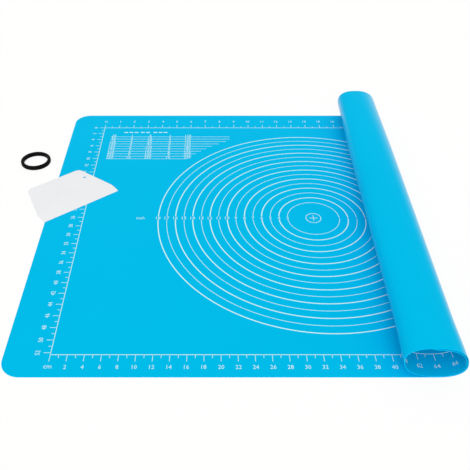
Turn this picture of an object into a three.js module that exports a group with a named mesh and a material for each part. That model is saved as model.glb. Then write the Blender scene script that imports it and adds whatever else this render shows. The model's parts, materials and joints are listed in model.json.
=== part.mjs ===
// A printed silicone pastry mat, partly rolled up, with its dough scraper and its rubber band.
// Millimetres, +Z up. The origin is the centre of the guide circles on the underside of the mat;
// +X runs along the mat to the rolled end and +Y runs away from the cook.
import * as THREE from 'three';

// The mat as it is cut, unrolled
const MAT_LENGTH = 800;
const MAT_WIDTH = 600;
const MAT_THICKNESS = 0.8;
const CORNER_RADIUS = 25;
const CORNER_STEPS = 8;
const FLAT_CURVE_STEPS = 12;

// Where the print lies on the mat
const LEFT_MARGIN = 55;
const FRONT_MARGIN = 33;
const BACK_MARGIN = 44;
const CENTRE_TO_LEFT_LINE = 339;
const PRINT_THICKNESS = 0.15;
const PRINT_GAP = 0.4;
const PRINT_END_MARGIN = 1.5;

// The roll: an oval spiral that leans and starts where the sheet leaves the table
const BEND_X = 109.3;
const ROLL_SKEW_DEG = 0.95;
const ROLL_WIDTH = 69;
const ROLL_HEIGHT = 49.7;
const ROLL_LEAN = -0.22;
const ROLL_SQUARENESS = 2.45;
const ROLL_LAYER_GAP = 1.2;
const ROLL_SETTLING = 0.6;
const ROLL_FACET_DEG = 7.5;
const FIRST_BEND_TURN_DEG = 24;
const BEND_STEP_DEG = 36;
const HINGED_STRIPS = 6;
const INNER_STRIPS = 16;
const BEND_GAP = 0.5;
const SEAM_GAP = 0.05;
const TURN_TABLE_STEP = 0.5;
const SMALLEST_STATION_STEP = 0.05;
const LENGTH_DIVISIONS_PER_TURN = 2000;
const END_STATION_STEP = 4;
const END_TRIM = 0.2;

// Guide circles, from one whole inch to another
const INCH = 25.4;
const SMALLEST_CIRCLE_IN = 3;
const LARGEST_CIRCLE_IN = 18;
const EVEN_LINE_WIDTH = 1.4;
const ODD_LINE_WIDTH = 0.7;
const CIRCLE_FACET_DEG = 7.5;

// Scales along three edges
const SCALE_LINE_WIDTH = 0.8;
const TICK_WIDTH = 0.6;
const LONG_TICK = 10;
const SHORT_TICK = 5;
const SIDE_LONG_TICK = 8.5;
const SIDE_SHORT_TICK = 4.5;
const CENTIMETRE = 10;

// Dough scraper
const SCRAPER_LONG_EDGE = 128;
const SCRAPER_SHORT_EDGE = 92;
const SCRAPER_HEIGHT = 89;
const SCRAPER_STRAIGHT_SIDE = 20;
const SCRAPER_THICKNESS = 1.2;
const SCRAPER_BACK_RADIUS = 9;
const SCRAPER_KINK_RADIUS = 12;
const SCRAPER_EDGE_RADIUS = 2;
const SCRAPER_HOLE_DIAMETER = 4.6;
const SCRAPER_HOLE_FROM_SIDE = 10.7;
const SCRAPER_HOLE_FROM_BACK = 25;
const SCRAPER_FROM_LEFT_EDGE = 49.2;
const SCRAPER_Y = 28.7;
const SCRAPER_TURN_DEG = 38.7;

// Rubber band that holds the mat when it is rolled up whole
const BAND_DIAMETER = 48;
const BAND_WALL = 5.2;
const BAND_HEIGHT = 7;
const BAND_ROUNDING = 2.2;
const BAND_CORNER_STEPS = 2;
const BAND_SEGMENTS = 36;
const BAND_FROM_LEFT_EDGE = 20.6;
const BAND_Y = 149.9;

const matLeft = -CENTRE_TO_LEFT_LINE - LEFT_MARGIN;
const matRight = matLeft + MAT_LENGTH;
const scaleDepth = MAT_WIDTH - FRONT_MARGIN - BACK_MARGIN;
const frontScaleY = -scaleDepth / 2;
const backScaleY = scaleDepth / 2;
const matFront = frontScaleY - FRONT_MARGIN;
const matBack = matFront + MAT_WIDTH;
const leftScaleX = -CENTRE_TO_LEFT_LINE;
const printTop = MAT_THICKNESS + PRINT_THICKNESS;
const rollSkew = THREE.MathUtils.degToRad(ROLL_SKEW_DEG);

const silicone = new THREE.MeshStandardMaterial({ color: 0x00bbea, roughness: 0.5, metalness: 0 });
const whiteInk = new THREE.MeshStandardMaterial({ color: 0xf4f8fa, roughness: 0.6, metalness: 0 });
const whitePlastic = new THREE.MeshStandardMaterial({ color: 0xebecf0, roughness: 0.45, metalness: 0 });
const blackRubber = new THREE.MeshStandardMaterial({ color: 0x141414, roughness: 0.55, metalness: 0 });

function namedMesh(name, geometry, material) {
  const mesh = new THREE.Mesh(geometry, material);
  mesh.name = name;
  return mesh;
}

function extruded(shape, depth, curveSegments = FLAT_CURVE_STEPS) {
  return new THREE.ExtrudeGeometry(shape, { depth, curveSegments, bevelEnabled: false });
}

// The oval spiral of the rolled sheet's middle surface, seen from the front of the mat.
// It starts at the lowest point, runs right, up and over, and winds inwards.
// The inner turn settles towards the outer one, down and to the right.
class RollCurve extends THREE.Curve {
  constructor(turns) {
    super();
    this.turns = turns;
    this.arcLengthDivisions = LENGTH_DIVISIONS_PER_TURN * turns;
    this.start = this.onOval(0);
  }

  onOval(angle) {
    const bend = 2 / ROLL_SQUARENESS;
    const pitch = MAT_THICKNESS + ROLL_LAYER_GAP;
    const inset = (MAT_THICKNESS + pitch * angle / Math.PI) / 2;
    const power = (value) => Math.sign(value) * Math.abs(value) ** bend;
    const across = power(Math.sin(angle)) * ((ROLL_WIDTH + pitch) / 2 - inset);
    const up = -power(Math.cos(angle)) * ((ROLL_HEIGHT + pitch / 2) / 2 - inset);
    const settled = ROLL_SETTLING * THREE.MathUtils.smoothstep(angle, Math.PI, 2 * Math.PI);
    return new THREE.Vector2(across + ROLL_LEAN * up + settled, up - settled);
  }

  getPoint(t, target = new THREE.Vector2()) {
    return target.copy(this.onOval(t * this.turns * 2 * Math.PI)).sub(this.start);
  }
}

// Places on the flat mat, as (how far beyond the line where the roll leaves the table, y)
function toRollFrame(point) {
  const along = (point.x - BEND_X) * Math.cos(rollSkew) - point.y * Math.sin(rollSkew);
  return new THREE.Vector2(along, point.y);
}

// The x at which a line along the mat, at this y, comes to a place along the roll's frame
function xAtAlong(along, y) {
  return BEND_X + (along + y * Math.sin(rollSkew)) / Math.cos(rollSkew);
}

// The whole mat's outline with its rounded corners
function matOutline() {
  const shape = new THREE.Shape();
  const quarter = Math.PI / 2;
  const corners = [
    [matRight - CORNER_RADIUS, matFront + CORNER_RADIUS],
    [matRight - CORNER_RADIUS, matBack - CORNER_RADIUS],
    [matLeft + CORNER_RADIUS, matBack - CORNER_RADIUS],
    [matLeft + CORNER_RADIUS, matFront + CORNER_RADIUS],
  ];
  corners.forEach(([x, y], index) => {
    shape.absarc(x, y, CORNER_RADIUS, (index - 1) * quarter, index * quarter, false);
  });
  shape.closePath();
  return shape.getPoints(CORNER_STEPS);
}

const outline = matOutline();
const outlineInRoll = outline.map(toRollFrame);

// From where to where across the mat the sheet reaches at one place along the roll
function spanAt(along) {
  const crossings = [];
  outlineInRoll.forEach((from, index) => {
    const to = outlineInRoll[(index + 1) % outlineInRoll.length];
    const below = Math.min(from.x, to.x);
    const above = Math.max(from.x, to.x);
    if (along >= below && along < above) {
      crossings.push(from.y + (to.y - from.y) * (along - from.x) / (to.x - from.x));
    }
  });
  return [Math.min(...crossings), Math.max(...crossings)];
}

const rolledLength = Math.max(...outlineInRoll.map((point) => point.x)) - END_TRIM;

function curveHolding(length) {
  let turns = 1;
  while (new RollCurve(turns).getLength() < length) turns += 1;
  return new RollCurve(turns);
}

const rollCurve = curveHolding(rolledLength);
const curveLength = rollCurve.getLength();

function directionAt(along) {
  return rollCurve.getTangentAt(along / curveLength).angle();
}

// How far the sheet has turned at each small step along the roll
function turnTable() {
  const table = [{ along: 0, turn: 0 }];
  for (let along = TURN_TABLE_STEP; along < rolledLength; along += TURN_TABLE_STEP) {
    const last = table[table.length - 1].turn;
    const change = directionAt(along) - last;
    const nearest = change - 2 * Math.PI * Math.round(change / (2 * Math.PI));
    table.push({ along, turn: last + nearest });
  }
  table.push({ along: rolledLength, turn: table[table.length - 1].turn });
  return table;
}

const turnSteps = turnTable();

function alongAtTurn(turn) {
  const next = turnSteps.findIndex((entry) => entry.turn >= turn);
  if (next <= 0) return next === 0 ? 0 : rolledLength;
  const before = turnSteps[next - 1];
  const share = (turn - before.turn) / (turnSteps[next].turn - before.turn);
  return before.along + share * (turnSteps[next].along - before.along);
}

function turnAtAlong(along) {
  const next = turnSteps.findIndex((entry) => entry.along >= along);
  if (next <= 0) return next === 0 ? 0 : turnSteps[turnSteps.length - 1].turn;
  const before = turnSteps[next - 1];
  const share = (along - before.along) / (turnSteps[next].along - before.along);
  return before.turn + share * (turnSteps[next].turn - before.turn);
}

// Places along a stretch of the roll that keep its facets small and follow the rounded free end
function stationsAlong(from, to) {
  const facet = THREE.MathUtils.degToRad(ROLL_FACET_DEG);
  const first = turnAtAlong(from);
  const count = Math.max(2, Math.ceil((turnAtAlong(to) - first) / facet));
  const stations = [from];
  for (let index = 1; index < count; index += 1) {
    const turn = first + (turnAtAlong(to) - first) * index / count;
    stations.push(alongAtTurn(turn));
  }
  const roundedEnd = rolledLength - CORNER_RADIUS - END_STATION_STEP * 2;
  for (let along = rolledLength; along > roundedEnd; along -= END_STATION_STEP) {
    if (along > from && along < to) stations.push(along);
  }
  stations.push(to);
  stations.sort((a, b) => a - b);
  const farEnough = (along, index) => index === 0 || along - stations[index - 1] > SMALLEST_STATION_STEP;
  return stations.filter(farEnough);
}

// One stretch of the rolled sheet: a loft of the sheet's thin section along the spiral.
// The roll lies a little askew, and its ends stay in line with the mat's front and back edges.
function rolledStretch(from, to) {
  const positions = [];
  const faces = [];
  const stations = stationsAlong(from, to);
  const half = MAT_THICKNESS / 2;
  stations.forEach((along) => {
    const place = rollCurve.getPointAt(along / curveLength);
    const direction = rollCurve.getTangentAt(along / curveLength);
    const [near, far] = spanAt(along);
    const section = [[near, -half], [far, -half], [far, half], [near, half]];
    section.forEach(([y, side]) => {
      const ahead = place.x - direction.y * side;
      const across = (y + ahead * Math.sin(rollSkew)) / Math.cos(rollSkew);
      positions.push(ahead, across, half + place.y + direction.x * side);
    });
  });
  const corners = positions.length / 3 / stations.length;
  const last = corners * (stations.length - 1);
  for (let first = 0; first < last; first += corners) {
    for (let side = 0; side < corners; side += 1) {
      const a = first + side;
      const b = first + (side + 1) % corners;
      faces.push(a, b, b + corners, a, b + corners, a + corners);
    }
  }
  faces.push(0, 2, 1, 0, 3, 2);
  faces.push(last, last + 1, last + 2, last, last + 2, last + 3);
  const geometry = new THREE.BufferGeometry();
  geometry.setAttribute('position', new THREE.Float32BufferAttribute(positions, 3));
  geometry.setIndex(faces);
  geometry.computeVertexNormals();
  return geometry;
}

// The flat stretch of the mat, from its left edge to the line where the roll starts
function flatSheet() {
  const end = -SEAM_GAP / 2;
  const points = [];
  outline.forEach((point, index) => {
    const next = outline[(index + 1) % outline.length];
    const here = toRollFrame(point).x - end;
    const there = toRollFrame(next).x - end;
    if (here <= 0) points.push(point);
    if (here * there < 0) points.push(point.clone().lerp(next, here / (here - there)));
  });
  return namedMesh('mat_sheet', extruded(new THREE.Shape(points), MAT_THICKNESS), silicone);
}

const twoDigits = (number) => String(number).padStart(2, '0');

// Where along the roll the sheet bends when the roll opens
function bendAt(index) {
  return alongAtTurn(THREE.MathUtils.degToRad(FIRST_BEND_TURN_DEG + index * BEND_STEP_DEG));
}

// The rolled stretch: a rise that stays with the flat sheet, strips that bend, then the stiff inner curl
function rolledSheet() {
  const roll = new THREE.Group();
  roll.position.x = BEND_X;
  roll.rotation.z = -rollSkew;
  const addStretch = (name, from, to) => roll.add(namedMesh(name, rolledStretch(from, to), silicone));
  addStretch('mat_rise', SEAM_GAP / 2, bendAt(0) - BEND_GAP / 2);
  for (let index = 0; index < HINGED_STRIPS; index += 1) {
    const name = `mat_roll_${twoDigits(index + 1)}`;
    addStretch(name, bendAt(index) + BEND_GAP / 2, bendAt(index + 1) - BEND_GAP / 2);
  }
  const innerStart = bendAt(HINGED_STRIPS) + BEND_GAP / 2;
  const innerStep = (rolledLength + SEAM_GAP - innerStart) / INNER_STRIPS;
  for (let index = 0; index < INNER_STRIPS; index += 1) {
    const from = innerStart + index * innerStep;
    addStretch(`mat_inner_roll_${twoDigits(index + 1)}`, from, from + innerStep - SEAM_GAP);
  }
  return roll;
}

// One printed guide circle; a large one is an arc that stops short of the roll
function guideCircle(diameterInches) {
  const radius = diameterInches * INCH / 2;
  const width = diameterInches % 2 === 0 ? EVEN_LINE_WIDTH : ODD_LINE_WIDTH;
  const outer = radius + width / 2;
  const inner = radius - width / 2;
  const reach = BEND_X * Math.cos(rollSkew) - PRINT_END_MARGIN;
  const shape = new THREE.Shape();
  const segmentsPerHalf = 180 / CIRCLE_FACET_DEG;
  if (outer < reach) {
    shape.absarc(0, 0, outer, 0, 2 * Math.PI, false);
    const hole = new THREE.Path();
    hole.absarc(0, 0, inner, 0, 2 * Math.PI, true);
    shape.holes.push(hole);
  } else {
    const opening = Math.acos(Math.min(reach / outer, 1));
    const from = opening - rollSkew;
    const to = 2 * Math.PI - opening - rollSkew;
    shape.absarc(0, 0, outer, from, to, false);
    shape.absarc(0, 0, inner, to, from, true);
  }
  const name = `guide_circle_${twoDigits(diameterInches)}_in`;
  const circle = namedMesh(name, extruded(shape, PRINT_THICKNESS, segmentsPerHalf), whiteInk);
  circle.position.z = MAT_THICKNESS;
  return circle;
}

// A scale: a line with ticks on one side, as one outline. Ticks point to -y, or to +y if flipped.
function scaleShape({ length, spacing, longTick, shortTick, start = 0, flipped = false }) {
  const side = flipped ? 1 : -1;
  const points = [new THREE.Vector2(start, -side * SCALE_LINE_WIDTH), new THREE.Vector2(start, 0)];
  for (let tick = 1; tick * spacing + TICK_WIDTH < length; tick += 1) {
    const reach = side * (tick % 2 === 0 ? longTick : shortTick);
    const left = tick * spacing - TICK_WIDTH / 2;
    const right = tick * spacing + TICK_WIDTH / 2;
    points.push(new THREE.Vector2(left, 0), new THREE.Vector2(left, reach));
    points.push(new THREE.Vector2(right, reach), new THREE.Vector2(right, 0));
  }
  points.push(new THREE.Vector2(length, 0), new THREE.Vector2(length, -side * SCALE_LINE_WIDTH));
  return new THREE.Shape(points);
}

function printedScales() {
  const scales = new THREE.Group();
  scales.position.set(leftScaleX, 0, MAT_THICKNESS);
  const afterCorner = SCALE_LINE_WIDTH + PRINT_GAP;
  const front = namedMesh('front_cm_scale', extruded(scaleShape({
    length: xAtAlong(-PRINT_END_MARGIN, frontScaleY) - leftScaleX,
    spacing: CENTIMETRE, longTick: LONG_TICK, shortTick: SHORT_TICK, start: afterCorner,
  }), PRINT_THICKNESS), whiteInk);
  front.position.y = frontScaleY;
  const side = namedMesh('left_cm_scale', extruded(scaleShape({
    length: scaleDepth, spacing: CENTIMETRE, longTick: SIDE_LONG_TICK, shortTick: SIDE_SHORT_TICK,
  }), PRINT_THICKNESS), whiteInk);
  side.position.y = backScaleY;
  side.rotation.z = -Math.PI / 2;
  const back = namedMesh('back_inch_scale', extruded(scaleShape({
    length: xAtAlong(-PRINT_END_MARGIN, backScaleY) - leftScaleX,
    spacing: INCH / 2, longTick: LONG_TICK, shortTick: SHORT_TICK, start: afterCorner, flipped: true,
  }), PRINT_THICKNESS), whiteInk);
  back.position.y = backScaleY;
  scales.add(front, side, back);
  return scales;
}

// A closed outline through corners, each rounded by its own radius
function roundedShape(corners) {
  const shape = new THREE.Shape();
  corners.forEach(({ x, y, radius }, index) => {
    const corner = new THREE.Vector2(x, y);
    const before = corners[(index + corners.length - 1) % corners.length];
    const after = corners[(index + 1) % corners.length];
    const toBefore = new THREE.Vector2(before.x, before.y).sub(corner).normalize();
    const toAfter = new THREE.Vector2(after.x, after.y).sub(corner).normalize();
    const cut = radius / Math.tan(Math.acos(toBefore.dot(toAfter)) / 2);
    const entry = corner.clone().addScaledVector(toBefore, cut);
    const exit = corner.clone().addScaledVector(toAfter, cut);
    if (index === 0) shape.moveTo(entry.x, entry.y);
    else shape.lineTo(entry.x, entry.y);
    shape.quadraticCurveTo(x, y, exit.x, exit.y);
  });
  shape.closePath();
  return shape;
}

// The scraper lies on the print across the mat's left edge, its long working edge to the front right
function doughScraper() {
  const long = SCRAPER_LONG_EDGE / 2;
  const short = SCRAPER_SHORT_EDGE / 2;
  const shape = roundedShape([
    { x: -long, y: 0, radius: SCRAPER_EDGE_RADIUS },
    { x: long, y: 0, radius: SCRAPER_EDGE_RADIUS },
    { x: long, y: SCRAPER_STRAIGHT_SIDE, radius: SCRAPER_KINK_RADIUS },
    { x: short, y: SCRAPER_HEIGHT, radius: SCRAPER_BACK_RADIUS },
    { x: -short, y: SCRAPER_HEIGHT, radius: SCRAPER_BACK_RADIUS },
    { x: -long, y: SCRAPER_STRAIGHT_SIDE, radius: SCRAPER_KINK_RADIUS },
  ]);
  const taper = (long - short) / (SCRAPER_HEIGHT - SCRAPER_STRAIGHT_SIDE);
  const holeX = short + taper * SCRAPER_HOLE_FROM_BACK - SCRAPER_HOLE_FROM_SIDE;
  const holeY = SCRAPER_HEIGHT - SCRAPER_HOLE_FROM_BACK;
  const hole = new THREE.Path();
  hole.absarc(holeX, holeY, SCRAPER_HOLE_DIAMETER / 2, 0, 2 * Math.PI, true);
  shape.holes.push(hole);
  const scraper = namedMesh('dough_scraper', extruded(shape, SCRAPER_THICKNESS), whitePlastic);
  scraper.position.set(matLeft + SCRAPER_FROM_LEFT_EDGE, SCRAPER_Y, printTop);
  scraper.rotation.z = THREE.MathUtils.degToRad(SCRAPER_TURN_DEG);
  return scraper;
}

// The band lies on the table beside the mat: a ring of a rounded section
function rubberBand() {
  const quarter = Math.PI / 2;
  const innerRadius = BAND_DIAMETER / 2 - BAND_WALL;
  const outerRadius = BAND_DIAMETER / 2;
  const centres = [
    [outerRadius - BAND_ROUNDING, BAND_ROUNDING],
    [outerRadius - BAND_ROUNDING, BAND_HEIGHT - BAND_ROUNDING],
    [innerRadius + BAND_ROUNDING, BAND_HEIGHT - BAND_ROUNDING],
    [innerRadius + BAND_ROUNDING, BAND_ROUNDING],
  ];
  const section = new THREE.Path();
  centres.forEach(([x, y], index) => {
    section.absarc(x, y, BAND_ROUNDING, (index - 1) * quarter, index * quarter, false);
  });
  section.closePath();
  const band = namedMesh(
    'rubber_band', new THREE.LatheGeometry(section.getPoints(BAND_CORNER_STEPS), BAND_SEGMENTS), blackRubber);
  band.rotation.x = quarter;
  band.position.set(matLeft - BAND_FROM_LEFT_EDGE - outerRadius, BAND_Y, 0);
  return band;
}

const pastryMat = new THREE.Group();
pastryMat.add(flatSheet(), rolledSheet());
for (let inches = SMALLEST_CIRCLE_IN; inches <= LARGEST_CIRCLE_IN; inches += 1) {
  pastryMat.add(guideCircle(inches));
}
pastryMat.add(printedScales(), doughScraper(), rubberBand());

export default pastryMat;
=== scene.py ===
import json
import math
from bisect import bisect_left

import bmesh
import bpy
from mathutils import Matrix, Vector


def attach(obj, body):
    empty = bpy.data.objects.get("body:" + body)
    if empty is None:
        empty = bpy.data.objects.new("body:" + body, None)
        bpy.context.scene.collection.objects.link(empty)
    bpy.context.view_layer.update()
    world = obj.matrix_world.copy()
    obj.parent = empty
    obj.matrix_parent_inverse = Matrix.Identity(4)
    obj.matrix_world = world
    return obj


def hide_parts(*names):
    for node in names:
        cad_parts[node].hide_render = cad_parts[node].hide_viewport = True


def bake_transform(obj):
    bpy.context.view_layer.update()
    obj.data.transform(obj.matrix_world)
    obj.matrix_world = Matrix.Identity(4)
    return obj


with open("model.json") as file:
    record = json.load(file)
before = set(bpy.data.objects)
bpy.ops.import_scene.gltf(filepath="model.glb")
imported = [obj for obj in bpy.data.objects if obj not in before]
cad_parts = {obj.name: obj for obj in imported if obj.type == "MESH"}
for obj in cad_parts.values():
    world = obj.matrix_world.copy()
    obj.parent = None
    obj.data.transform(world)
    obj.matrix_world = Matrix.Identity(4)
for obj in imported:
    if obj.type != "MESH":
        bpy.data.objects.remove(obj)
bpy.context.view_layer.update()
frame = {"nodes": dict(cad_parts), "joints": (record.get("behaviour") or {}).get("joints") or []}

MM = 0.001
INCH = 0.0254
CENTIMETRE = 0.01

# Sheet of silicone
SHEET_LEFT = -394 * MM
SHEET_RIGHT = 406 * MM
SHEET_FRONT = -294.5 * MM
SHEET_BACK = 305.5 * MM
SHEET_THICKNESS = 0.8 * MM
SHEET_CORNER = 25 * MM
SHEET_CORNER_STEPS = 16
RIM_ROUNDING = 0.22 * MM
RIM_STEPS = 2

# Loosely rolled end
BEND_X = 109.3 * MM
ROLL_SKEW = math.radians(0.95)
ROLL_WIDTH = 69 * MM
ROLL_HEIGHT = 49.7 * MM
ROLL_LEAN = -0.22
ROLL_SQUARENESS = 2.45
ROLL_LAYER_GAP = 1.2 * MM
ROLL_SETTLING = 0.6 * MM
ROLL_FLARE = 0.045
ROLL_FLARE_START = -225 * MM
ROLL_NARROWING = 0.057
ROLL_NARROWING_START = 110 * MM
ROLL_TAPER_CUTS = 9
ROLL_TABLE_STEP = math.radians(0.25)
ROLL_TABLE_TURNS = 2
ROLL_FACET = math.radians(2.5)
BENDING_STEP = 1.2 * MM
STIFF_STEP = 6 * MM

# Print on the sheet
INK_SINK = 0.03 * MM
INK_HEIGHT = 0.12 * MM
LEFT_LINE_X = -339 * MM
RIGHT_LINE_X = 351 * MM
FRONT_LINE_Y = -261.5 * MM
BACK_LINE_Y = 261.5 * MM
SCALE_LINE = 0.8 * MM
TICK_LINE = 0.6 * MM
LONG_TICK = 10 * MM
SHORT_TICK = 5 * MM
SIDE_LONG_TICK = 8.5 * MM
SIDE_SHORT_TICK = 4.5 * MM
FIGURE_HEIGHT = 5.6 * MM
UNIT_HEIGHT = 4.2 * MM
FIGURE_NARROWING = 0.92
FIGURE_THINNING = -0.006
FIGURE_CURVE_STEPS = 2
SIDEWAYS = math.pi / 2
FRONT_FIGURES = 18.3 * MM
BACK_FIGURES = 22 * MM
SIDE_FIGURES = 15.6 * MM

# Rings, and the plain mark in the middle of them
SMALLEST_RING = 3
LARGEST_RING = 18
EVEN_RING_LINE = 1.4 * MM
ODD_RING_LINE = 0.7 * MM
RING_STEPS = 120
RING_FIGURE_HEIGHT = 6.2 * MM
RING_FIGURE_ROOM = 4 * MM
RING_RIGHT_ROOM = 1.3 * MM
RING_UNIT_X = -254.7 * MM
CENTRE_RING = 11 * MM
CENTRE_LINE = 0.8 * MM
CENTRE_ARM = 6 * MM

# Conversion table in the back left corner
TABLE_LEFT = -325 * MM
TABLE_TOP = 238.5 * MM
TABLE_ROW = 7.8 * MM
TABLE_RULE = 0.55 * MM
TABLE_FIGURE_HEIGHT = 5.8 * MM
TABLE_RIGHT = -119 * MM
TABLE_CURVE = 249 * MM
TABLE_COLUMNS = (-319.5 * MM, -288 * MM, -256.5 * MM, -222 * MM, -190.7 * MM)
TABLE_FIGURES = (
    (25, 1, 5, 1, 110),
    (50, 2, 15, 2, 120),
    (75, 3, 30, 3, 140),
    (100, 4, 60, 4, 150),
    (125, 5, 75, 5, 160),
    (150, 6, 100, 6, 180),
    (175, 7, 125, 7, 190),
    (200, 8, 150, 8, 200),
    (225, 9, 200, 9, 220),
    (250, 10, 250, 10, 230),
)
HEADING_Y = 245.5 * MM
HEADING_DASHES = tuple(left * MM for left in (-303, -294, -285, -274, -265, -252, -243, -234))
HEADING_DASH = 6.5 * MM
HEADING_LINE = 2.2 * MM

# Dough scraper
SCRAPER_LONG_EDGE = 128 * MM
SCRAPER_SHORT_EDGE = 92 * MM
SCRAPER_DEPTH = 89 * MM
SCRAPER_STRAIGHT_SIDE = 20 * MM
SCRAPER_THICKNESS = 1.2 * MM
SCRAPER_BACK_RADIUS = 9 * MM
SCRAPER_KINK_RADIUS = 12 * MM
SCRAPER_EDGE_RADIUS = 2 * MM
SCRAPER_CORNER_STEPS = 10
SCRAPER_HOLE = 4.6 * MM
SCRAPER_HOLE_STEPS = 32
SCRAPER_HOLE_X = 41.8 * MM
SCRAPER_HOLE_Y = 64 * MM
SCRAPER_PLACE = Vector((-344.8 * MM, 28.7 * MM, 0.95 * MM))
SCRAPER_TURN = math.radians(38.7)
WORKING_EDGE_DEPTH = 9 * MM
WORKING_EDGE_THINNING = 0.55 * MM
SCRAPER_RIM = 0.25 * MM

# Rubber band
BAND_OUTSIDE = 48 * MM
BAND_WALL = 5.2 * MM
BAND_HEIGHT = 7 * MM
BAND_ROUNDING = 2.2 * MM
BAND_ROUNDING_STEPS = 6
BAND_STEPS = 96
BAND_PLACE = Vector((-438.6 * MM, 149.9 * MM, 0))
MOULD_LINE_CUTS = 3
MOULD_LINE_PROUD = 0.06 * MM

# Limits for making meshes
CUT_TOLERANCE = 1e-6
FLAT_ANGLE = math.radians(1)
SHARP_ANGLE = math.radians(18)
STEEP_ANGLE = math.radians(60)

# Colours, in pairs that a noise mixes, and the sheen of the silicone
SILICONE_BLUES = ((0.0, 0.485, 0.842, 1), (0.0, 0.509, 0.872, 1))
SILICONE_GLINT = (0.0, 0.5, 0.82, 1)
SHEEN_START = 0.53
SHEEN_FULL = 0.84
INK_WHITES = ((0.60, 0.88, 0.91, 1), (0.70, 0.94, 0.95, 1))
PLASTIC_WHITES = ((0.80, 0.81, 0.875, 1), (0.845, 0.855, 0.91, 1))
RUBBER_BLACKS = ((0.001, 0.001, 0.001, 1), (0.004, 0.004, 0.004, 1))

# Sockets that a Mix node has for colours
MIX_FIRST_COLOUR = 6
MIX_SECOND_COLOUR = 7
MIXED_COLOUR = 2

# Camera, floor and light
CAMERA_PLACE = (-0.1503, -0.755, 0.583)
CAMERA_TILT = math.radians(48.185)
CAMERA_LENS = 49.434
CAMERA_SHIFT = (0.0502, 0.0642)
FLOOR_SIZE = 3
FLOOR_BELOW = 0.1 * MM
FLOOR_WHITE = (0.96, 0.96, 0.96, 1)
FLOOR_GLOW = 0.9
SKY_LIGHT = 0.8
SKY_TINT = (1, 1, 0.93, 1)
SKY_WHITE = (1, 1, 1, 1)
KEY_STRENGTH = 1.35
KEY_SOFTNESS = math.radians(40)
KEY_TILT = (math.radians(60), math.radians(-6), 0)


class Value:
    """A socket's value: using it in an expression adds Math nodes."""

    def __init__(self, finish, socket):
        self.finish = finish
        self.socket = socket

    def worked(self, operation, first, second):
        sockets = {0: first, 1: second}
        node = self.finish.node("ShaderNodeMath", {"operation": operation}, sockets)
        return Value(self.finish, node.outputs[0])

    def __add__(self, other):
        return self.worked("ADD", self, other)

    def __radd__(self, other):
        return self.worked("ADD", other, self)

    def __mul__(self, other):
        return self.worked("MULTIPLY", self, other)

    def __rmul__(self, other):
        return self.worked("MULTIPLY", other, self)

    def at_most(self, other):
        return self.worked("MINIMUM", self, other)


class Finish:
    """A node tree for one surface, the floor or the sky."""

    def __init__(self, owner):
        owner.use_nodes = True
        self.owner = owner
        self.tree = owner.node_tree
        self.tree.nodes.clear()

    def node(self, kind, settings=None, sockets=None):
        made = self.tree.nodes.new(kind)
        for name, value in (settings or {}).items():
            setattr(made, name, value)
        for name, value in (sockets or {}).items():
            self.feed(made.inputs[name], value)
        return made

    def feed(self, socket, value):
        if isinstance(value, Value):
            self.tree.links.new(value.socket, socket)
        elif isinstance(value, bpy.types.NodeSocket):
            self.tree.links.new(value, socket)
        else:
            socket.default_value = value

    def value(self, kind, output, settings=None, sockets=None):
        return Value(self, self.node(kind, settings, sockets).outputs[output])

    def noise(self, scale, detail, roughness=0.5):
        where = self.node("ShaderNodeTexCoord").outputs["Object"]
        sockets = {"Vector": where, "Scale": scale, "Detail": detail, "Roughness": roughness}
        return self.value("ShaderNodeTexNoise", "Fac", None, sockets)

    def mixed_colour(self, share, first, second):
        sockets = {"Factor": share, MIX_FIRST_COLOUR: first, MIX_SECOND_COLOUR: second}
        return self.node("ShaderNodeMix", {"data_type": "RGBA"}, sockets).outputs[MIXED_COLOUR]

    def low_angle(self, start, full):
        """Rises from 0 to 1 where the surface is seen at a low angle."""
        facing = self.value("ShaderNodeLayerWeight", "Facing")
        sockets = {"Value": facing, "From Min": start, "From Max": full}
        return self.value("ShaderNodeMapRange", "Result", {"interpolation_type": "SMOOTHSTEP"}, sockets)

    def bump(self, height, strength, distance):
        sockets = {"Height": height, "Strength": strength, "Distance": distance}
        return self.node("ShaderNodeBump", None, sockets).outputs["Normal"]

    def surface(self, sockets):
        shader = self.node("ShaderNodeBsdfPrincipled", None, sockets)
        self.node("ShaderNodeOutputMaterial", None, {"Surface": shader.outputs[0]})
        return self.owner


def mat_silicone():
    finish = Finish(bpy.data.materials.new("blue_silicone"))
    clouds = finish.noise(scale=7, detail=3)
    grain = finish.noise(scale=1400, detail=2, roughness=0.6)
    smears = finish.noise(scale=38, detail=4, roughness=0.6)
    return finish.surface({
        "Base Color": finish.mixed_colour(clouds, *SILICONE_BLUES),
        "Roughness": 0.36 + 0.12 * smears + 0.06 * grain,
        "Specular IOR Level": 0.01,
        "Specular Tint": SILICONE_GLINT,
        "Coat Weight": finish.low_angle(SHEEN_START, SHEEN_FULL),
        "Coat Roughness": 0.3,
        "Normal": finish.bump(grain, strength=0.12, distance=0.05 * MM),
    })


def white_ink():
    finish = Finish(bpy.data.materials.new("white_ink"))
    patches = finish.noise(scale=220, detail=3, roughness=0.6)
    grain = finish.noise(scale=2600, detail=2, roughness=0.6)
    return finish.surface({
        "Base Color": finish.mixed_colour(patches, *INK_WHITES),
        "Roughness": 0.5 + 0.15 * patches,
        "Specular IOR Level": 0.2,
        "Normal": finish.bump(grain, strength=0.1, distance=0.03 * MM),
    })


def scraper_plastic():
    finish = Finish(bpy.data.materials.new("white_plastic"))
    clouds = finish.noise(scale=24, detail=3)
    grain = finish.noise(scale=1800, detail=2, roughness=0.6)
    rubs = finish.noise(scale=120, detail=5, roughness=0.65)
    return finish.surface({
        "Base Color": finish.mixed_colour(clouds, *PLASTIC_WHITES),
        "Roughness": 0.34 + 0.14 * rubs + 0.05 * grain,
        "Specular IOR Level": 0.35,
        "Normal": finish.bump(grain, strength=0.08, distance=0.04 * MM),
    })


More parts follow.
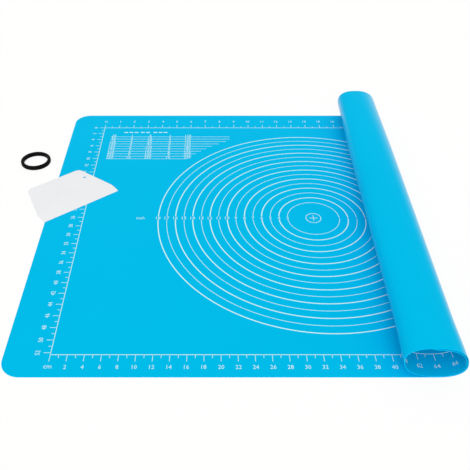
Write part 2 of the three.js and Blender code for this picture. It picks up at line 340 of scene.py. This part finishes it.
def band_rubber():
    finish = Finish(bpy.data.materials.new("black_rubber"))
    bloom = finish.noise(scale=160, detail=4, roughness=0.6)
    grain = finish.noise(scale=2400, detail=3, roughness=0.6)
    return finish.surface({
        "Base Color": finish.mixed_colour(bloom, *RUBBER_BLACKS),
        "Roughness": 0.3 + 0.14 * bloom + 0.08 * grain,
        "Specular IOR Level": 0.04,
        "Normal": finish.bump(grain, strength=0.18, distance=0.05 * MM),
    })


def make_piece(name, shape, finish):
    mesh = bpy.data.meshes.new(name)
    shape.to_mesh(mesh)
    shape.free()
    mesh.materials.append(finish)
    mesh.shade_smooth()
    mesh.set_sharp_from_angle(angle=SHARP_ANGLE)
    piece = bpy.data.objects.new(name, mesh)
    bpy.context.scene.collection.objects.link(piece)
    return piece


def eased(share):
    """Runs softly from 0 to 1."""
    share = min(max(share, 0), 1)
    return share * share * (3 - 2 * share)


class RolledEnd:
    """Where the middle of the sheet runs: flat up to the bend line, then wound into a leaning oval."""

    def __init__(self):
        count = round(ROLL_TABLE_TURNS * math.tau / ROLL_TABLE_STEP)
        bottom = self.on_oval(0)
        self.points = [self.on_oval(index * ROLL_TABLE_STEP) - bottom for index in range(count)]
        self.lengths = [0.0]
        self.turns = [0.0]
        for before, after in zip(self.points, self.points[1:]):
            step = after - before
            turn = math.atan2(step.y, step.x)
            turn += math.tau * round((self.turns[-1] - turn) / math.tau)
            self.lengths.append(self.lengths[-1] + step.length)
            self.turns.append(turn)
        # The first step's own turn is uneven, so it is set midway between its neighbours
        self.turns[1] = self.turns[2] / 2

    def on_oval(self, angle):
        power = 2 / ROLL_SQUARENESS
        pitch = SHEET_THICKNESS + ROLL_LAYER_GAP
        inset = (SHEET_THICKNESS + pitch * angle / math.pi) / 2
        sine = math.sin(angle)
        cosine = math.cos(angle)
        across = math.copysign(abs(sine) ** power, sine) * ((ROLL_WIDTH + pitch) / 2 - inset)
        up = -math.copysign(abs(cosine) ** power, cosine) * ((ROLL_HEIGHT + pitch / 2) / 2 - inset)
        settled = ROLL_SETTLING * eased(angle / math.pi - 1)
        return Vector((across + ROLL_LEAN * up + settled, up - settled))

    def table_place(self, along):
        """The last entry before a length along the sheet, and the share of the step beyond it."""
        after = max(1, bisect_left(self.lengths, along))
        before = after - 1
        return before, (along - self.lengths[before]) / (self.lengths[after] - self.lengths[before])

    def turn_at(self, along):
        before, share = self.table_place(along)
        return self.turns[before] + (self.turns[before + 1] - self.turns[before]) * share

    def point_at(self, along):
        before, share = self.table_place(along)
        return self.points[before].lerp(self.points[before + 1], share)

    def spread(self, y):
        """How wide the roll is at one y: wider towards its front end, narrower towards its back end."""
        flare = eased((y - ROLL_FLARE_START) / (SHEET_FRONT - ROLL_FLARE_START))
        narrowing = eased((y - ROLL_NARROWING_START) / (SHEET_BACK - ROLL_NARROWING_START))
        return 1 + ROLL_FLARE * flare - ROLL_NARROWING * narrowing

    def on_table(self, ahead, y, up):
        """A place in the roll's section at one y, in the shared frame. The roll lies a little askew."""
        x = BEND_X + ahead * self.spread(y) / math.cos(ROLL_SKEW) + y * math.tan(ROLL_SKEW)
        return Vector((x, y, up + SHEET_THICKNESS / 2))

    def along(self, place):
        """How far a place lies beyond the bend line, square to it."""
        return (place.x - BEND_X) * math.cos(ROLL_SKEW) - place.y * math.sin(ROLL_SKEW)

    def bent(self, place):
        """Where a place on the flat sheet goes when the end is rolled up."""
        along = self.along(place)
        if along <= 0:
            return place
        turn = self.turn_at(along)
        middle = self.point_at(along)
        lift = place.z - SHEET_THICKNESS / 2
        return self.on_table(middle.x - lift * math.sin(turn), place.y, middle.y + lift * math.cos(turn))

    def middle(self, along):
        """A place in the sheet's middle. A line through two of these is square to the bend lines."""
        point = self.point_at(along)
        x = BEND_X + point.x * math.cos(ROLL_SKEW)
        y = -point.x * math.sin(ROLL_SKEW)
        return Vector((x, y, point.y + SHEET_THICKNESS / 2))

    def length_at_joint(self, place):
        """How far along the rolled end a packed bend joint lies."""
        spot = Vector((self.along(place), place.z - SHEET_THICKNESS / 2))
        nearest = min(range(len(self.points)), key=lambda index: (self.points[index] - spot).length)
        return self.lengths[nearest]


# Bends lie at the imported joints. A seam lies midway between two bends, the last one beyond the last bend.
rolled = RolledEnd()
bend_joints = [joint for joint in frame["joints"] if joint["name"].startswith("roll_bend_")]
bends = [rolled.length_at_joint(Vector(joint["pos_m"])) for joint in bend_joints]
seams = [(before + after) / 2 for before, after in zip(bends, bends[1:])]
seams.append(2 * bends[-1] - seams[-1])


def bending_stations():
    """Where the sheet is cut across so that it follows the roll smoothly."""
    stations = [0.0]
    last_turn = 0.0
    for length, turn in zip(rolled.lengths, rolled.turns):
        longest = BENDING_STEP if length < seams[-1] else STIFF_STEP
        if turn - last_turn >= ROLL_FACET or length - stations[-1] >= longest:
            stations.append(length)
            last_turn = turn
    return stations


stations = bending_stations()


def cut_by_plane(shape, point, direction, drop_before=False, drop_beyond=False):
    """Cuts a shape, can drop what lies on one side, and gives the new edges."""
    cut = bmesh.ops.bisect_plane(
        shape,
        geom=shape.verts[:] + shape.edges[:] + shape.faces[:],
        dist=CUT_TOLERANCE,
        plane_co=point,
        plane_no=direction,
        clear_inner=drop_before,
        clear_outer=drop_beyond,
    )
    return [part for part in cut["geom_cut"] if isinstance(part, bmesh.types.BMEdge)]


def cut_across(shape, along, drop_before=False, drop_beyond=False):
    """Cuts a flat shape at one place along the roll."""
    direction = Vector((math.cos(ROLL_SKEW), -math.sin(ROLL_SKEW), 0))
    point = Vector((BEND_X, 0, 0)) + direction * along
    return cut_by_plane(shape, point, direction, drop_before, drop_beyond)


def cut_for_taper(shape):
    """Cuts a flat shape along its length so that it follows both ends of the roll."""
    for start, end in ((ROLL_FLARE_START, SHEET_FRONT), (ROLL_NARROWING_START, SHEET_BACK)):
        for index in range(ROLL_TAPER_CUTS):
            y = start + (end - start) * index / ROLL_TAPER_CUTS
            cut_by_plane(shape, (0, y, 0), (0, 1, 0))


def length_of_roll(flat, index, closed):
    """One length of a flat shape, from seam to seam, cut at the bending stations."""
    shape = flat.copy()
    first = seams[index - 1] if index > 0 else -math.inf
    last = seams[index] if index < len(seams) else stations[-1]
    ends = []
    if index > 0:
        ends.append(cut_across(shape, first, drop_before=True))
    if index < len(seams):
        ends.append(cut_across(shape, last, drop_beyond=True))
    if closed:
        for edges in ends:
            bmesh.ops.edgeloop_fill(shape, edges=[edge for edge in edges if edge.is_valid])
    for station in stations:
        if first + CUT_TOLERANCE < station < last - CUT_TOLERANCE:
            cut_across(shape, station)
    return shape


def bend_onto_roll(shape):
    bmesh.ops.recalc_face_normals(shape, faces=shape.faces)
    for vert in shape.verts:
        vert.co = rolled.bent(vert.co)


def follow_roll(piece, index):
    """The last piece stays with the stiff inner roll. For each other piece the ends of its stretch around
    its joint are worked out but not used, and its place is baked into its mesh.
    """
    if index == len(bends):
        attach(piece, bend_joints[-1]["child"])
        return
    reach = seams[index] - bends[index]
    if index > 0:
        reach = min(reach, bends[index] - seams[index - 1])
    start = rolled.middle(bends[index] - reach)
    end = rolled.middle(bends[index] + reach)
    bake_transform(piece)


def add_rectangle(shape, left, front, right, back):
    """Adds a unit square, stretched to four sides."""
    middle = Vector(((left + right) / 2, (front + back) / 2, 0))
    size = Matrix.Diagonal((right - left, back - front, 1, 1))
    place = Matrix.Translation(middle) @ size
    bmesh.ops.create_grid(shape, x_segments=1, y_segments=1, size=0.5, matrix=place)


def thicken(shape, bottom, top):
    """Gives a flat shape a closed body between two heights."""
    bmesh.ops.translate(shape, verts=shape.verts, vec=(0, 0, bottom))
    grown = bmesh.ops.extrude_face_region(shape, geom=shape.faces[:])
    upper = [part for part in grown["geom"] if isinstance(part, bmesh.types.BMVert)]
    bmesh.ops.translate(shape, verts=upper, vec=(0, 0, top - bottom))
    bmesh.ops.recalc_face_normals(shape, faces=shape.faces)


def round_rim(shape, rounding):
    rim = [edge for edge in shape.edges if edge.is_manifold and edge.calc_face_angle() > STEEP_ANGLE]
    bmesh.ops.bevel(
        shape, geom=rim, offset=rounding, offset_type="OFFSET",
        affect="EDGES", segments=RIM_STEPS, profile=0.5, material=-1,
    )


def flat_sheet():
    """The whole sheet before it is rolled, with rounded corners and a rounded rim."""
    shape = bmesh.new()
    add_rectangle(shape, SHEET_LEFT, SHEET_FRONT, SHEET_RIGHT, SHEET_BACK)
    bmesh.ops.bevel(
        shape, geom=shape.verts[:], offset=SHEET_CORNER, offset_type="ABSOLUTE",
        affect="VERTICES", segments=SHEET_CORNER_STEPS, profile=0.5, material=-1,
    )
    thicken(shape, 0, SHEET_THICKNESS)
    round_rim(shape, RIM_ROUNDING)
    cut_for_taper(shape)
    return shape


def sheet_pieces(silicone):
    flat = flat_sheet()
    inner_nodes = [name for name in frame["nodes"] if name.startswith("mat_inner_roll_")]
    for index in range(len(bends) + 1):
        shape = length_of_roll(flat, index, closed=True)
        bend_onto_roll(shape)
        name = "sheet_flat" if index == 0 else f"sheet_roll_{index:02d}"
        piece = make_piece(name, shape, silicone)
        follow_roll(piece, index)
        if index == 0:
            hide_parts("mat_sheet", "mat_rise")
        elif index == len(bends):
            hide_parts(*inner_nodes)
        else:
            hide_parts(f"mat_roll_{index:02d}")
    flat.free()


class SheetPrint:
    """White print, drawn flat before it is bent with the sheet."""

    def __init__(self):
        self.shape = bmesh.new()
        self.cut_figures = {}

    def upright(self, x, front, back, width=TICK_LINE):
        add_rectangle(self.shape, x - width / 2, front, x + width / 2, back)

    def level(self, left, right, y, width=TICK_LINE):
        add_rectangle(self.shape, left, y - width / 2, right, y + width / 2)

    def arc(self, radius, width, first, last):
        inner = self.shape.verts.new(Vector((radius - width / 2, 0, 0)))
        outer = self.shape.verts.new(Vector((radius + width / 2, 0, 0)))
        line = self.shape.edges.new((inner, outer))
        bmesh.ops.rotate(self.shape, verts=[inner, outer], matrix=Matrix.Rotation(first, 3, "Z"))
        bmesh.ops.spin(
            self.shape, geom=[inner, outer, line], cent=(0, 0, 0), axis=(0, 0, 1),
            angle=last - first, steps=RING_STEPS, use_merge=False,
        )

    def figures(self, text, height, x, y, turn=0):
        mesh = self.cut(text).copy()
        place = Matrix.Translation((x, y, 0)) @ Matrix.Rotation(turn, 4, "Z")
        mesh.transform(place @ Matrix.Diagonal((height * FIGURE_NARROWING, height, 1, 1)))
        self.shape.from_mesh(mesh)
        bpy.data.meshes.remove(mesh)

    def cut(self, text):
        """Figures as a flat mesh, one unit high and centred."""
        if text in self.cut_figures:
            return self.cut_figures[text]
        curve = bpy.data.curves.new("figures", "FONT")
        curve.body = text
        curve.resolution_u = FIGURE_CURVE_STEPS
        curve.offset = FIGURE_THINNING
        curve.fill_mode = "FRONT"
        drawn = bpy.data.objects.new("figures", curve)
        bpy.context.scene.collection.objects.link(drawn)
        ready = drawn.evaluated_get(bpy.context.evaluated_depsgraph_get())
        mesh = bpy.data.meshes.new_from_object(ready)
        bpy.data.objects.remove(drawn)
        bpy.data.curves.remove(curve)
        lowest = Vector((min(v.co.x for v in mesh.vertices), min(v.co.y for v in mesh.vertices), 0))
        highest = Vector((max(v.co.x for v in mesh.vertices), max(v.co.y for v in mesh.vertices), 0))
        mesh.transform(Matrix.Translation(-(lowest + highest) / 2))
        mesh.transform(Matrix.Scale(1 / (highest.y - lowest.y), 4))
        mesh.materials.clear()
        self.cut_figures[text] = mesh
        return mesh

    def done(self):
        for mesh in self.cut_figures.values():
            bpy.data.meshes.remove(mesh)
        bmesh.ops.remove_doubles(self.shape, verts=self.shape.verts, dist=CUT_TOLERANCE)
        bmesh.ops.dissolve_limit(
            self.shape, angle_limit=FLAT_ANGLE, verts=self.shape.verts, edges=self.shape.edges,
        )
        return self.shape


def draw_rings(ink):
    for size in range(SMALLEST_RING, LARGEST_RING + 1):
        radius = size * INCH / 2
        width = EVEN_RING_LINE if size % 2 == 0 else ODD_RING_LINE
        left_room = RING_FIGURE_ROOM / radius
        right_room = RING_RIGHT_ROOM / radius
        ink.arc(radius, width, right_room, math.pi - left_room)
        ink.arc(radius, width, math.pi + left_room, math.tau - right_room)
        ink.figures(str(size), RING_FIGURE_HEIGHT, -radius, 0)
    ink.figures("inch", FIGURE_HEIGHT, RING_UNIT_X, 0)


def draw_front_scale(ink):
    ink.level(LEFT_LINE_X, RIGHT_LINE_X, FRONT_LINE_Y, SCALE_LINE)
    count = math.floor((RIGHT_LINE_X - LEFT_LINE_X) / CENTIMETRE)
    for step in range(count + 1):
        x = LEFT_LINE_X + step * CENTIMETRE
        even = step % 2 == 0
        ink.upright(x, FRONT_LINE_Y - (LONG_TICK if even else SHORT_TICK), FRONT_LINE_Y)
        if even:
            text = str(step) if step else "cm"
            height = FIGURE_HEIGHT if step else UNIT_HEIGHT
            ink.figures(text, height, x, FRONT_LINE_Y - FRONT_FIGURES)


def draw_left_scale(ink):
    ink.upright(LEFT_LINE_X, FRONT_LINE_Y, BACK_LINE_Y, SCALE_LINE)
    count = math.floor((BACK_LINE_Y - FRONT_LINE_Y) / CENTIMETRE)
    for step in range(count + 1):
        y = BACK_LINE_Y - step * CENTIMETRE
        even = step % 2 == 0
        ink.level(LEFT_LINE_X - (SIDE_LONG_TICK if even else SIDE_SHORT_TICK), LEFT_LINE_X, y)
        if even:
            ink.figures(str(step), FIGURE_HEIGHT, LEFT_LINE_X - SIDE_FIGURES, y, SIDEWAYS)


def draw_back_scale(ink):
    ink.level(LEFT_LINE_X, RIGHT_LINE_X, BACK_LINE_Y, SCALE_LINE)
    count = math.floor(2 * (RIGHT_LINE_X - LEFT_LINE_X) / INCH)
    for step in range(count + 1):
        x = LEFT_LINE_X + step * INCH / 2
        whole = step % 2 == 0
        ink.upright(x, BACK_LINE_Y, BACK_LINE_Y + (LONG_TICK if whole else SHORT_TICK))
        if whole:
            text = str(step // 2) if step else "in"
            ink.figures(text, FIGURE_HEIGHT, x, BACK_LINE_Y + BACK_FIGURES)


def draw_right_scale(ink):
    ink.upright(RIGHT_LINE_X, FRONT_LINE_Y, BACK_LINE_Y, SCALE_LINE)
    count = math.floor(2 * (BACK_LINE_Y - FRONT_LINE_Y) / INCH)
    for step in range(count + 1):
        y = FRONT_LINE_Y + step * INCH / 2
        whole = step % 2 == 0
        ink.level(RIGHT_LINE_X, RIGHT_LINE_X + (SIDE_LONG_TICK if whole else SIDE_SHORT_TICK), y)
        if whole and step:
            ink.figures(str(step // 2), FIGURE_HEIGHT, RIGHT_LINE_X + SIDE_FIGURES, y, SIDEWAYS)


def draw_table(ink):
    for left in HEADING_DASHES:
        ink.level(left, left + HEADING_DASH, HEADING_Y, HEADING_LINE)
    for row, figures in enumerate(TABLE_FIGURES):
        y = TABLE_TOP - (row + 1) * TABLE_ROW
        right = min(TABLE_RIGHT, -math.sqrt(TABLE_CURVE ** 2 - y ** 2))
        ink.level(TABLE_LEFT, right, y, TABLE_RULE)
        for x, figure in zip(TABLE_COLUMNS, figures):
            ink.figures(str(figure), TABLE_FIGURE_HEIGHT, x, y + TABLE_ROW / 2)


def draw_centre(ink):
    ink.arc(CENTRE_RING, CENTRE_LINE, 0, math.tau)
    ink.level(-CENTRE_ARM, CENTRE_ARM, 0, CENTRE_LINE)
    ink.upright(0, CENTRE_LINE / 2, CENTRE_ARM, CENTRE_LINE)
    ink.upright(0, -CENTRE_ARM, -CENTRE_LINE / 2, CENTRE_LINE)


def print_pieces(white):
    ink = SheetPrint()
    draw_rings(ink)
    draw_front_scale(ink)
    draw_left_scale(ink)
    draw_back_scale(ink)
    draw_right_scale(ink)
    draw_table(ink)
    draw_centre(ink)
    flat = ink.done()
    cut_for_taper(flat)
    nodes = [name for name in frame["nodes"] if name.startswith("guide_circle_") or name.endswith("_scale")]
    for index in range(len(bends) + 1):
        shape = length_of_roll(flat, index, closed=False)
        thicken(shape, SHEET_THICKNESS - INK_SINK, SHEET_THICKNESS + INK_HEIGHT)
        bend_onto_roll(shape)
        name = "print_flat" if index == 0 else f"print_roll_{index:02d}"
        piece = make_piece(name, shape, white)
        follow_roll(piece, index)
        if index == 0:
            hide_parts(*nodes)
    flat.free()


def round_corner(shape, verts, radius):
    """Rounds corners of a flat outline that all turn by the same angle."""
    before, after = verts[0].link_edges
    one = before.other_vert(verts[0]).co - verts[0].co
    other = after.other_vert(verts[0]).co - verts[0].co
    bmesh.ops.bevel(
        shape, geom=verts, offset=radius / math.tan(one.angle(other) / 2), offset_type="ABSOLUTE",
        affect="VERTICES", segments=SCRAPER_CORNER_STEPS, profile=0.5, material=-1,
    )


def verts_at(shape, y):
    return [vert for vert in shape.verts if abs(vert.co.y - y) < CUT_TOLERANCE]


def dough_scraper(plastic):
    long = SCRAPER_LONG_EDGE / 2
    short = SCRAPER_SHORT_EDGE / 2
    shape = bmesh.new()
    corners = (
        (-long, 0), (long, 0), (long, SCRAPER_STRAIGHT_SIDE),
        (short, SCRAPER_DEPTH), (-short, SCRAPER_DEPTH), (-long, SCRAPER_STRAIGHT_SIDE),
    )
    shape.faces.new([shape.verts.new(Vector((x, y, 0))) for x, y in corners])
    round_corner(shape, verts_at(shape, 0), SCRAPER_EDGE_RADIUS)
    round_corner(shape, verts_at(shape, SCRAPER_STRAIGHT_SIDE), SCRAPER_KINK_RADIUS)
    round_corner(shape, verts_at(shape, SCRAPER_DEPTH), SCRAPER_BACK_RADIUS)
    bmesh.ops.delete(shape, geom=shape.faces[:], context="FACES_ONLY")
    hole = Matrix.Translation((SCRAPER_HOLE_X, SCRAPER_HOLE_Y, 0))
    bmesh.ops.create_circle(shape, segments=SCRAPER_HOLE_STEPS, radius=SCRAPER_HOLE / 2, matrix=hole)
    bmesh.ops.triangle_fill(shape, use_beauty=True, use_dissolve=True, edges=shape.edges[:])
    cut_by_plane(shape, (0, WORKING_EDGE_DEPTH, 0), (0, 1, 0))
    thicken(shape, 0, SCRAPER_THICKNESS)
    for vert in shape.verts:
        if vert.co.z > SCRAPER_THICKNESS / 2 and vert.co.y < WORKING_EDGE_DEPTH:
            vert.co.z -= WORKING_EDGE_THINNING * (1 - vert.co.y / WORKING_EDGE_DEPTH)
    round_rim(shape, SCRAPER_RIM)
    place = Matrix.Translation(SCRAPER_PLACE) @ Matrix.Rotation(SCRAPER_TURN, 4, "Z")
    bmesh.ops.transform(shape, matrix=place, verts=shape.verts)
    piece = make_piece("scraper_plate", shape, plastic)
    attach(piece, "scraper")
    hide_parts("dough_scraper")


def rubber_band(rubber):
    shape = bmesh.new()
    outside = BAND_OUTSIDE / 2
    inside = outside - BAND_WALL
    corners = ((inside, 0), (outside, 0), (outside, BAND_HEIGHT), (inside, BAND_HEIGHT))
    section = shape.faces.new([shape.verts.new(Vector((x, 0, z))) for x, z in corners])
    bmesh.ops.bevel(
        shape, geom=list(section.verts), offset=BAND_ROUNDING, offset_type="ABSOLUTE",
        affect="VERTICES", segments=BAND_ROUNDING_STEPS, profile=0.5, material=-1,
    )
    wall = [edge for edge in shape.edges if all(v.co.x > outside - CUT_TOLERANCE for v in edge.verts)]
    bmesh.ops.subdivide_edges(shape, edges=wall, cuts=MOULD_LINE_CUTS)
    for vert in shape.verts:
        if vert.co.x > outside - CUT_TOLERANCE and abs(vert.co.z - BAND_HEIGHT / 2) < CUT_TOLERANCE:
            vert.co.x += MOULD_LINE_PROUD
    bmesh.ops.delete(shape, geom=shape.faces[:], context="FACES_ONLY")
    bmesh.ops.spin(
        shape, geom=shape.verts[:] + shape.edges[:], cent=(0, 0, 0), axis=(0, 0, 1),
        angle=math.tau, steps=BAND_STEPS, use_merge=True,
    )
    bmesh.ops.remove_doubles(shape, verts=shape.verts, dist=CUT_TOLERANCE)
    bmesh.ops.recalc_face_normals(shape, faces=shape.faces)
    bmesh.ops.translate(shape, verts=shape.verts, vec=BAND_PLACE)
    piece = make_piece("band_ring", shape, rubber)
    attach(piece, "band")
    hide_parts("rubber_band")


def place_camera():
    camera = bpy.data.objects.new("viewpoint", bpy.data.cameras.new("viewpoint"))
    camera.location = CAMERA_PLACE
    camera.rotation_euler = (CAMERA_TILT, 0, 0)
    camera.data.lens = CAMERA_LENS
    camera.data.shift_x, camera.data.shift_y = CAMERA_SHIFT
    bpy.context.scene.collection.objects.link(camera)
    bpy.context.scene.camera = camera


def seen_directly(finish):
    """One for what the camera sees itself, in a reflection or through glass."""
    path = finish.node("ShaderNodeLightPath").outputs
    seen = Value(finish, path["Is Camera Ray"]) + path["Is Glossy Ray"] + path["Is Transmission Ray"]
    return seen.at_most(1)


def pale_floor():
    shape = bmesh.new()
    place = Matrix.Translation((0, 0, -FLOOR_BELOW))
    bmesh.ops.create_grid(shape, x_segments=1, y_segments=1, size=FLOOR_SIZE, matrix=place)
    mesh = bpy.data.meshes.new("pale_floor")
    shape.to_mesh(mesh)
    shape.free()
    finish = Finish(bpy.data.materials.new("pale_floor"))
    paint = finish.node("ShaderNodeBsdfDiffuse", None, {"Color": FLOOR_WHITE}).outputs[0]
    glow = finish.node("ShaderNodeEmission").outputs[0]
    sockets = {0: seen_directly(finish) * FLOOR_GLOW, 1: paint, 2: glow}
    mixed = finish.node("ShaderNodeMixShader", None, sockets).outputs[0]
    finish.node("ShaderNodeOutputMaterial", None, {"Surface": mixed})
    mesh.materials.append(finish.owner)
    floor = bpy.data.objects.new("pale_floor", mesh)
    bpy.context.scene.collection.objects.link(floor)


def studio_light():
    sky = bpy.data.worlds.new("studio")
    bpy.context.scene.world = sky
    finish = Finish(sky)
    seen = seen_directly(finish)
    colour = finish.mixed_colour(seen, SKY_TINT, SKY_WHITE)
    strength = SKY_LIGHT + (1 - SKY_LIGHT) * seen
    glow = finish.node("ShaderNodeBackground", None, {"Color": colour, "Strength": strength})
    finish.node("ShaderNodeOutputWorld", None, {"Surface": glow.outputs[0]})
    lamp = bpy.data.lights.new("key", "SUN")
    lamp.energy = KEY_STRENGTH
    lamp.angle = KEY_SOFTNESS
    key = bpy.data.objects.new("key", lamp)
    key.rotation_euler = KEY_TILT
    bpy.context.scene.collection.objects.link(key)


bpy.context.scene.view_settings.view_transform = "Standard"
place_camera()
pale_floor()
studio_light()
sheet_pieces(mat_silicone())
print_pieces(white_ink())
dough_scraper(scraper_plastic())
rubber_band(band_rubber())

bpy.context.view_layer.update()
